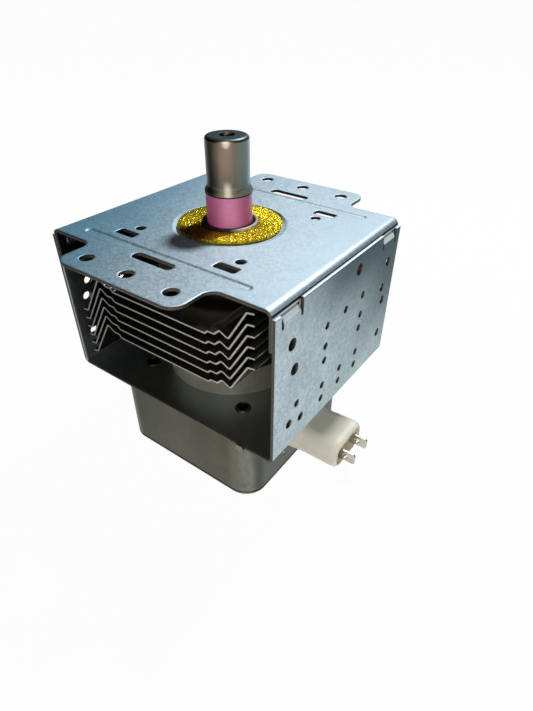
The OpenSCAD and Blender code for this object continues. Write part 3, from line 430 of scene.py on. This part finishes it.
def sintered(name, dark, light, roughness, speckle, edge_radius=0.25*MM, coat=0.0, side_shade=None):
    """Fired ceramic: fine speckle, soft clouds and a slightly pitted skin. A side shade is a deeper
    colour painted towards a tube's left and right sides across the view, as painted shade."""
    material, t, shader = new_material(name)
    place = t.add("TexCoord").outputs["Object"]
    fine = t.noise(place, speckle, 2.0, 0.6)
    cloud = t.noise(place, 70.0, 3.0, 0.5)
    tone = t.math("ADD", t.math("MULTIPLY", t.ramp(fine, 0.3, 0.7), 0.55),
                  t.math("MULTIPLY", t.ramp(cloud, 0.3, 0.7), 0.45))
    colour = t.mix(tone, dark, light)
    # Painted shade: deeper towards the tube's left and right sides across the view
    if side_shade:
        across = t.along(place, ACROSS_VIEW)
        colour = t.mix(t.ramp(t.math("ABSOLUTE", across), 0.5*MM, 6.5*MM), colour, side_shade)
    t.link(colour, shader.inputs["Base Color"])
    rough = t.math("ADD", roughness, t.math("MULTIPLY", t.math("SUBTRACT", fine, 0.5), 0.25))
    t.link(rough, shader.inputs["Roughness"])
    shader.inputs["Coat Weight"].default_value = coat
    t.link(relief(t, fine, 0.25, 0.03*MM, edge_radius), shader.inputs["Normal"])
    return material


def knitted_gold(name):
    """Brass-coloured wire: loops painted bright or dark at random as painted glints, painted shade
    in the gaps between them, and a brown painted shadow on the front."""
    material, t, shader = new_material(name)
    place = t.add("TexCoord").outputs["Object"]
    depth = t.add("Attribute", attribute_name="loop_depth").outputs["Fac"]
    # Painted glints: each loop picked bright or dark at random
    cells = t.add("TexVoronoi", {"Vector": place, "Scale": 3000.0})
    per_loop = t.add("SeparateColor", {"Color": cells.outputs["Color"]}).outputs
    deep = t.mix(t.ramp(per_loop["Red"], 0.0, 0.4), rgb(122, 80, 2), rgb(214, 184, 14))
    colour = t.mix(t.ramp(per_loop["Red"], 0.5, 1.0), deep, rgb(255, 248, 72))
    # Painted shade in the gaps between the loops
    loop_gap_shade = t.math("MULTIPLY", t.ramp(depth, 0.42, 0.15), 0.6)
    colour = t.mix(loop_gap_shade, colour, rgb(84, 50, 2))
    # Painted shadow of the antenna on the front of the gasket
    flat = t.stretched(place, 1.0, 1.0, 0.0)
    way = t.add("VectorMath", {0: flat}, operation="NORMALIZE").outputs["Vector"]
    turn = t.along(way, SHADOWED_SIDE)
    painted_shadow = t.math("MULTIPLY", t.ramp(turn, 0.86, 0.97), 0.9)
    t.link(t.mix(painted_shadow, colour, rgb(72, 38, 4)), shader.inputs["Base Color"])
    t.link(t.ramp(per_loop["Green"], 0.0, 1.0, 0.22, 0.45), shader.inputs["Roughness"])
    shader.inputs["Metallic"].default_value = 0.8
    slope = t.math("MULTIPLY", per_loop["Blue"], cells.outputs["Distance"])
    t.link(relief(t, slope, 0.5, 0.4*MM), shader.inputs["Normal"])
    return material


def moulded_cream(name, dark, light):
    """Satin thermoset moulding with faint flow marks."""
    material, t, shader = new_material(name)
    place = t.add("TexCoord").outputs["Object"]
    flow = t.noise(t.stretched(place, 50.0, 180.0, 180.0), 1.0, 3.0, 0.5)
    fine = t.noise(place, 1800.0, 2.0, 0.6)
    t.link(t.mix(t.ramp(flow, 0.3, 0.7), dark, light), shader.inputs["Base Color"])
    t.link(t.ramp(fine, 0.3, 0.7, 0.42, 0.56), shader.inputs["Roughness"])
    shader.inputs["Subsurface Weight"].default_value = 0.2
    shader.inputs["Subsurface Radius"].default_value = (3*MM, 2.2*MM, 1.5*MM)
    shader.inputs["Subsurface Scale"].default_value = 1.0
    t.link(relief(t, fine, 0.12, 0.03*MM, 0.4*MM), shader.inputs["Normal"])
    return material


def fin_sheet(name):
    """Rolled aluminium fin: dark, oily faces with fine rolling lines and bright cut edges, both
    painted darker towards the left as painted shade."""
    material, t, shader = new_material(name)
    place = t.add("TexCoord")
    here = t.axes(place.outputs["Object"])
    facing = t.axes(place.outputs["Normal"])
    line = t.noise(t.stretched(place.outputs["Object"], 1600.0, 90.0, 1600.0), 1.0, 3.0, 0.6)
    cloud = t.noise(place.outputs["Object"], 90.0, 3.0, 0.55)
    face = t.mix(t.ramp(line, 0.3, 0.7), rgb(138, 138, 132), rgb(166, 166, 160))
    edge = t.mix(t.ramp(line, 0.3, 0.7), rgb(142, 139, 129), rgb(174, 171, 160))
    # Painted shade: darker towards the left, mottled
    left_shade = t.math("MULTIPLY", t.ramp(here["X"], 36*MM, -38*MM), t.ramp(cloud, 0.2, 0.8, 0.7, 1.0))
    cut = t.ramp(t.math("ABSOLUTE", facing["Y"]), 0.5, 0.8)
    colour = t.mix(cut, t.mix(left_shade, face, rgb(60, 59, 54)), t.mix(left_shade, edge, rgb(86, 85, 79)))
    t.link(colour, shader.inputs["Base Color"])
    t.link(t.ramp(line, 0.2, 0.8, 0.2, 0.26), shader.inputs["Roughness"])
    shader.inputs["Metallic"].default_value = 0.95
    t.link(relief(t, line, 0.06, 0.02*MM, 0.1*MM), shader.inputs["Normal"])
    return material


def box_sheet(name):
    """Drawn steel box: dull olive film, painted deeper towards the left as painted shade, with a
    painted highlight of pale grey steel at the corner towards the terminal side and painted shade
    on the terminal side's face.
    """
    material, t, shader = new_material(name)
    place = t.add("TexCoord").outputs["Object"]
    here = t.axes(place)
    line = t.noise(t.stretched(place, 500.0, 500.0, 140.0), 1.0, 3.0, 0.6)
    cloud = t.noise(place, 55.0, 3.0, 0.55)
    marks = place_group(t, MARKS, {"Vector": place, "Size": 110.0})
    film = t.mix(t.ramp(cloud, 0.3, 0.7), rgb(72, 69, 56), rgb(86, 82, 68))
    # Painted shade: the film deeper towards the left
    film = t.mix(t.ramp(here["X"], 4*MM, -34*MM), film, rgb(48, 52, 37))
    bare = t.mix(t.ramp(line, 0.3, 0.7), rgb(116, 116, 106), rgb(131, 131, 121))
    # Painted highlight: pale grey steel at the corner towards the terminal side
    colour = t.mix(t.ramp(here["X"], BOX_HIGH.x - 14*MM, BOX_HIGH.x - 3*MM), film, bare)
    facing = t.axes(t.add("TexCoord").outputs["Normal"])
    # Painted shade on the face towards the terminals
    colour = t.mix(t.ramp(facing["X"], 0.7, 0.98), colour, rgb(68, 76, 67))
    t.link(t.mix(t.math("MULTIPLY", marks["Mask"], 0.3), colour, rgb(68, 64, 54)),
           shader.inputs["Base Color"])
    rough = t.math("ADD", 0.36, t.math("MULTIPLY", marks["Mask"], 0.12))
    t.link(rough, shader.inputs["Roughness"])
    shader.inputs["Metallic"].default_value = 1.0
    t.link(relief(t, line, 0.12, 0.02*MM, 0.5*MM), shader.inputs["Normal"])
    return material


def ferrite_ring(name):
    """Pressed ferrite: grey sides with fine speckle, browner on the upper ring, faces that are
    black with grime, and painted shade on the side under the top plate."""
    material, t, shader = new_material(name)
    place = t.add("TexCoord")
    facing = t.axes(place.outputs["Normal"])
    fine = t.noise(place.outputs["Object"], 1300.0, 2.0, 0.6)
    cloud = t.noise(place.outputs["Object"], 70.0, 3.0, 0.5)
    side = t.mix(t.ramp(cloud, 0.3, 0.7), rgb(124, 123, 113), rgb(147, 146, 135))
    side = t.mix(t.math("MULTIPLY", t.ramp(fine, 0.4, 0.7), 0.3), side, rgb(96, 95, 86))
    here = t.axes(place.outputs["Object"])
    side = t.mix(t.ramp(here["Z"], -30*MM, -20*MM), side, rgb(122, 108, 92))
    # Grime on the faces, and painted shade on the side under the top plate
    grime_and_shade = t.math("MAXIMUM", t.ramp(t.math("ABSOLUTE", facing["Z"]), 0.5, 0.8),
                   t.ramp(here["Z"], -13.4*MM, -8*MM))
    t.link(t.mix(grime_and_shade, side, rgb(26, 25, 22)), shader.inputs["Base Color"])
    t.link(t.ramp(fine, 0.3, 0.7, 0.42, 0.6), shader.inputs["Roughness"])
    t.link(relief(t, fine, 0.25, 0.03*MM, 0.35*MM), shader.inputs["Normal"])
    return material


def seal_can_nickel(name):
    """Nickel-plated can: bright on the terminal side, with painted shade on the other side and in
    the groove beside the ceramic."""
    material, t, shader = new_material(name)
    place = t.add("TexCoord").outputs["Object"]
    here = t.axes(place)
    line = t.noise(t.stretched(place, 300.0, 300.0, 2500.0), 1.0, 3.0, 0.6)
    side = t.along(place, LIT_SIDE)
    out = t.length(here["X"], here["Y"])
    bright = t.mix(t.ramp(line, 0.3, 0.7), rgb(214, 214, 212), rgb(240, 240, 238))
    # Painted shade away from the lit side and in the groove beside the ceramic
    lit_part = t.math("MULTIPLY", t.ramp(side, 0*MM, 5*MM), t.ramp(out, 8.9*MM, 9.4*MM))
    t.link(t.mix(lit_part, rgb(42, 36, 36), bright), shader.inputs["Base Color"])
    t.link(t.ramp(line, 0.2, 0.8, 0.34, 0.46), shader.inputs["Roughness"])
    shader.inputs["Metallic"].default_value = 0.5
    t.link(relief(t, line, 0.1, 0.02*MM, 0.3*MM), shader.inputs["Normal"])
    return material


FINISHES = {
    "plate_zinc": zinc_sheet(
        "plate_zinc", rgb(190, 213, 228), rgb(228, 246, 255),
        web=PLATE_HIGH.x - SHEET_BEND, bend_level=-SHEET_BEND, wall_side=-1.0,
        crystal=1500.0, tone_and_light=plate_tone_and_painted_light),
    "yoke_zinc": zinc_sheet(
        "yoke_zinc", rgb(143, 165, 172), rgb(216, 234, 240),
        web=YOKE_HIGH.x - SHEET_BEND, bend_level=YOKE_LOW.z + SHEET_BEND, wall_side=1.0,
        crystal=900.0, tone_and_light=yoke_tone_and_painted_light),
    "seal_steel": seal_can_nickel("seal_steel"),
    "pink_alumina": sintered(
        "pink_alumina", rgb(238, 140, 192), rgb(248, 158, 208), roughness=0.38, speckle=1500.0,
        edge_radius=0.3*MM, coat=0.15, side_shade=rgb(206, 98, 150)),
    "cap_steel": cap_tone_and_painted_light("cap_steel"),
    "copper": brushed_metal(
        "copper", rgb(176, 104, 74), rgb(214, 140, 104), roughness=0.35,
        along=(400.0, 400.0, 1800.0)),
    "ferrite": ferrite_ring("ferrite"),
    "fin_aluminium": fin_sheet("fin_aluminium"),
    "pole_iron": brushed_metal(
        "pole_iron", rgb(120, 118, 116), rgb(156, 154, 150), roughness=0.45,
        along=(300.0, 300.0, 1500.0)),
    "cathode_metal": brushed_metal(
        "cathode_metal", rgb(112, 112, 114), rgb(150, 150, 152), roughness=0.42,
        along=(900.0, 900.0, 120.0)),
    "white_alumina": sintered(
        "white_alumina", rgb(222, 218, 208), rgb(240, 237, 230), roughness=0.42, speckle=1600.0,
        edge_radius=0.3*MM),
    "box_steel": box_sheet("box_steel"),
    "cream_plastic": moulded_cream("cream_plastic", rgb(246, 238, 223), rgb(252, 246, 234)),
    "capacitor_steel": brushed_metal(
        "capacitor_steel", rgb(166, 166, 162), rgb(196, 196, 190), roughness=0.38,
        along=(900.0, 900.0, 120.0)),
    "capacitor_ceramic": sintered(
        "capacitor_ceramic", rgb(138, 104, 80), rgb(166, 128, 98), roughness=0.55, speckle=1200.0),
    "blade_steel": brushed_metal(
        "blade_steel", rgb(176, 172, 156), rgb(208, 204, 190), roughness=0.34,
        along=(120.0, 900.0, 900.0)),
}
GOLD = knitted_gold("gasket_brass")


def dress_solids():
    """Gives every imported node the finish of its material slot."""
    slots = {row["node"]: row["material_slot"] for row in frame["record"]["subparts"]}
    for name, node in NODES.items():
        finish = FINISHES.get(slots[name])
        if finish is None:
            continue
        node.data.materials.clear()
        node.data.materials.append(finish)


# Pieces

def grid_mesh(name, points, closed_u, closed_v, smooth, attributes=None):
    """A quad mesh over a grid of points, joined round where it is closed."""
    rows, columns, _ = points.shape
    index = np.arange(rows*columns).reshape(rows, columns)
    if closed_u:
        index = np.vstack([index, index[:1]])
    if closed_v:
        index = np.hstack([index, index[:, :1]])
    corners = [index[:-1, :-1], index[1:, :-1], index[1:, 1:], index[:-1, 1:]]
    quads = np.stack(corners, -1).reshape(-1, 4)
    mesh = bpy.data.meshes.new(name)
    mesh.from_pydata(points.reshape(-1, 3), [], quads.tolist())
    mesh.polygons.foreach_set("use_smooth", np.full(len(quads), smooth))
    for label, values in (attributes or {}).items():
        layer = mesh.attributes.new(label, "FLOAT", "POINT")
        layer.data.foreach_set("value", values.astype(np.float32).ravel())
    mesh.update()
    piece = bpy.data.objects.new(name, mesh)
    bpy.context.scene.collection.objects.link(piece)
    return piece


def knitted_gasket():
    """Pressed ring of knitted wire. A rounded rectangle is carried round the antenna; two families
    of wires cross it, one leaning each way, and raise its skin by the higher of their crowns, with
    a random part that differs from loop to loop. The ring is slightly out of round: its front is
    drawn in by the cube of the cosine of the angle from there."""
    around, across = 520, 56
    angle = np.linspace(0, 2*np.pi, around, endpoint=False)[:, None]
    turn = np.linspace(0, 2*np.pi, across, endpoint=False)[None, :]
    slack = np.maximum(0, np.cos(angle + GASKET_DRAW_TURN))**3
    inner = GASKET_BORE_R - GASKET_BORE_DRAW*slack
    outer = GASKET_HIGH.x - GASKET_RIM_DRAW*slack
    low, high = GASKET_LOW.z, GASKET_HIGH.z
    crown = 0.45*MM
    half_w = (outer - inner)/2 - crown/2
    half_h = (high - low)/2 - crown/2
    squareness = 4.0
    # Superellipse section: |x/a|^n + |z/b|^n = 1
    reach = (np.abs(np.cos(turn))**squareness + np.abs(np.sin(turn))**squareness)**(-1/squareness)
    lean = 24
    loops = 56
    first = np.abs(np.sin(loops*angle + lean*turn/4))
    second = np.abs(np.sin(loops*angle - lean*turn/4 + 0.9))
    rng = np.random.default_rng(7)
    jitter = rng.random((around, across))
    jitter = (jitter + np.roll(jitter, 1, 0) + np.roll(jitter, 1, 1))/3
    depth = 0.55*np.maximum(first, second) + 0.45*jitter
    rise = crown*(depth - 0.5)
    radial = (half_w*reach*np.cos(turn)) + rise*np.cos(turn)
    upward = (half_h*reach*np.sin(turn)) + rise*np.sin(turn)
    radius = (inner + outer)/2 + radial
    points = np.stack([radius*np.cos(angle), radius*np.sin(angle),
                       (low + high)/2 + upward + 0*angle], -1)
    piece = grid_mesh("gasket_knit", points, True, True, False, {"loop_depth": depth})
    piece.data.materials.append(GOLD)
    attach(piece, "root")
    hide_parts("rf_gasket")


# Stage, light and camera

# Floor: its gap under the lid, the radii of its rings in metres, the number of its sides, and the
# share that shows white
FLOOR_GAP = 0.05*MM
FLOOR_RADII = (0.0, 0.3, 1.0, 4.0, 30.0)
FLOOR_SIDES = 64
FLOOR_WHITE_SHARE = 0.97

# Room: its own light, and the soft panel's light, direction and edge as cosines from its middle
ROOM_LIGHT = (0.003, 0.0035, 0.004, 1.0)
PANEL_LIGHT = (1.7, 1.63, 1.5, 1.0)
PANEL_WAY = Vector((0.5, -0.78, 0.22)).normalized()
PANEL_EDGE = (0.7, 0.97)


def add_floor():
    """Round pale floor under the filter box. Camera, mirror and clear rays see it near white, with
    the object's shadow kept in the diffuse share."""
    level = LID_LOW.z - FLOOR_GAP
    rings = np.array(FLOOR_RADII)[:, None]
    angle = np.linspace(0, 2*np.pi, FLOOR_SIDES, endpoint=False)[None, :]
    flat = np.full((len(FLOOR_RADII), FLOOR_SIDES), level)
    points = np.stack([rings*np.cos(angle), rings*np.sin(angle), flat], -1)
    floor = grid_mesh("floor", points, False, True, True)
    material = bpy.data.materials.new("pale_floor")
    material.use_nodes = True
    t = Tree(material.node_tree)
    material.node_tree.nodes.clear()
    matte = t.add("BsdfDiffuse", {"Color": (0.88, 0.88, 0.88, 1.0)}).outputs[0]
    white = t.add("Emission", {"Color": (1.0, 1.0, 1.0, 1.0), "Strength": 1.0}).outputs[0]
    path = t.add("LightPath").outputs
    seen = t.math("MAXIMUM", path["Is Camera Ray"],
                  t.math("MAXIMUM", path["Is Glossy Ray"], path["Is Transmission Ray"]))
    share = t.math("MULTIPLY", seen, FLOOR_WHITE_SHARE)
    both = t.add("MixShader", {0: share, 1: matte, 2: white}).outputs[0]
    out = t.add("OutputMaterial")
    t.link(both, out.inputs["Surface"])
    floor.data.materials.append(material)


def add_world():
    """Dim room with one large soft panel to the front, a little above the object."""
    world = bpy.data.worlds.new("studio")
    bpy.context.scene.world = world
    world.use_nodes = True
    t = Tree(world.node_tree)
    background = world.node_tree.nodes["Background"]
    way = t.add("TexCoord").outputs["Generated"]
    share = t.ramp(t.along(way, PANEL_WAY), *PANEL_EDGE)
    t.link(t.mix(share, ROOM_LIGHT, PANEL_LIGHT), background.inputs["Color"])
    background.inputs["Strength"].default_value = 1.0


def add_lamp(name, kind, energy, size, colour, place):
    """Lamp of the given kind at a place in metres, which a distant lamp only takes its direction
    from. Its size is a sun's angle in degrees or a bulb's radius in metres."""
    lamp = bpy.data.lights.new(name, kind)
    lamp.energy = energy
    if kind == "SUN":
        lamp.angle = math.radians(size)
    else:
        lamp.shadow_soft_size = size
    lamp.color = colour
    holder = bpy.data.objects.new(name, lamp)
    holder.rotation_euler = Vector(place).to_track_quat("Z", "Y").to_euler()
    holder.location = place
    bpy.context.scene.collection.objects.link(holder)


def add_lamps():
    """Cool round key behind the object, a little to the right, and a weak warm fill from the
    front."""
    add_lamp("key", "POINT", energy=8.6, size=0.035, colour=(0.97, 0.99, 1.0),
             place=(0.025, 0.272, 0.42))
    add_lamp("fill", "SUN", energy=0.17, size=8.0, colour=(1.0, 0.93, 0.84),
             place=(5.0, -7.0, 9.0))


# The photograph's view: turn, height and roll in degrees, the origin's place in the camera's axes
# in millimetres, and the focal length in pixels of the picture's long side
VIEW_TURN, VIEW_HEIGHT, VIEW_ROLL = 35.49, 36.77, 0.46
ORIGIN_SEEN = Vector((-12.92, 47.01, -177.08))
FOCAL_PIXELS, LONG_SIDE = 498.45, 711
SENSOR_MM = 36.0


def add_camera():
    """Camera at the photograph's view."""
    turn, height, roll = (math.radians(v) for v in (VIEW_TURN, VIEW_HEIGHT, VIEW_ROLL))
    back = Vector((math.sin(turn)*math.cos(height), -math.cos(turn)*math.cos(height),
                   math.sin(height)))
    right = Vector((math.cos(turn), math.sin(turn), 0))
    up = back.cross(right)
    rolled_right = math.cos(roll)*right + math.sin(roll)*up
    rolled_up = math.cos(roll)*up - math.sin(roll)*right
    axes = Matrix((rolled_right, rolled_up, back))
    place = -(axes.transposed() @ ORIGIN_SEEN)*MM
    data = bpy.data.cameras.new("camera")
    data.sensor_width = SENSOR_MM
    data.lens = FOCAL_PIXELS/LONG_SIDE*SENSOR_MM
    data.clip_start = 5*MM
    data.clip_end = 100.0
    camera = bpy.data.objects.new("camera", data)
    camera.matrix_world = Matrix.Translation(place) @ axes.transposed().to_4x4()
    bpy.context.scene.collection.objects.link(camera)
    bpy.context.scene.camera = camera


bpy.context.scene.view_settings.view_transform = "Standard"
dress_solids()
knitted_gasket()
add_floor()
add_world()
add_lamps()
add_camera()
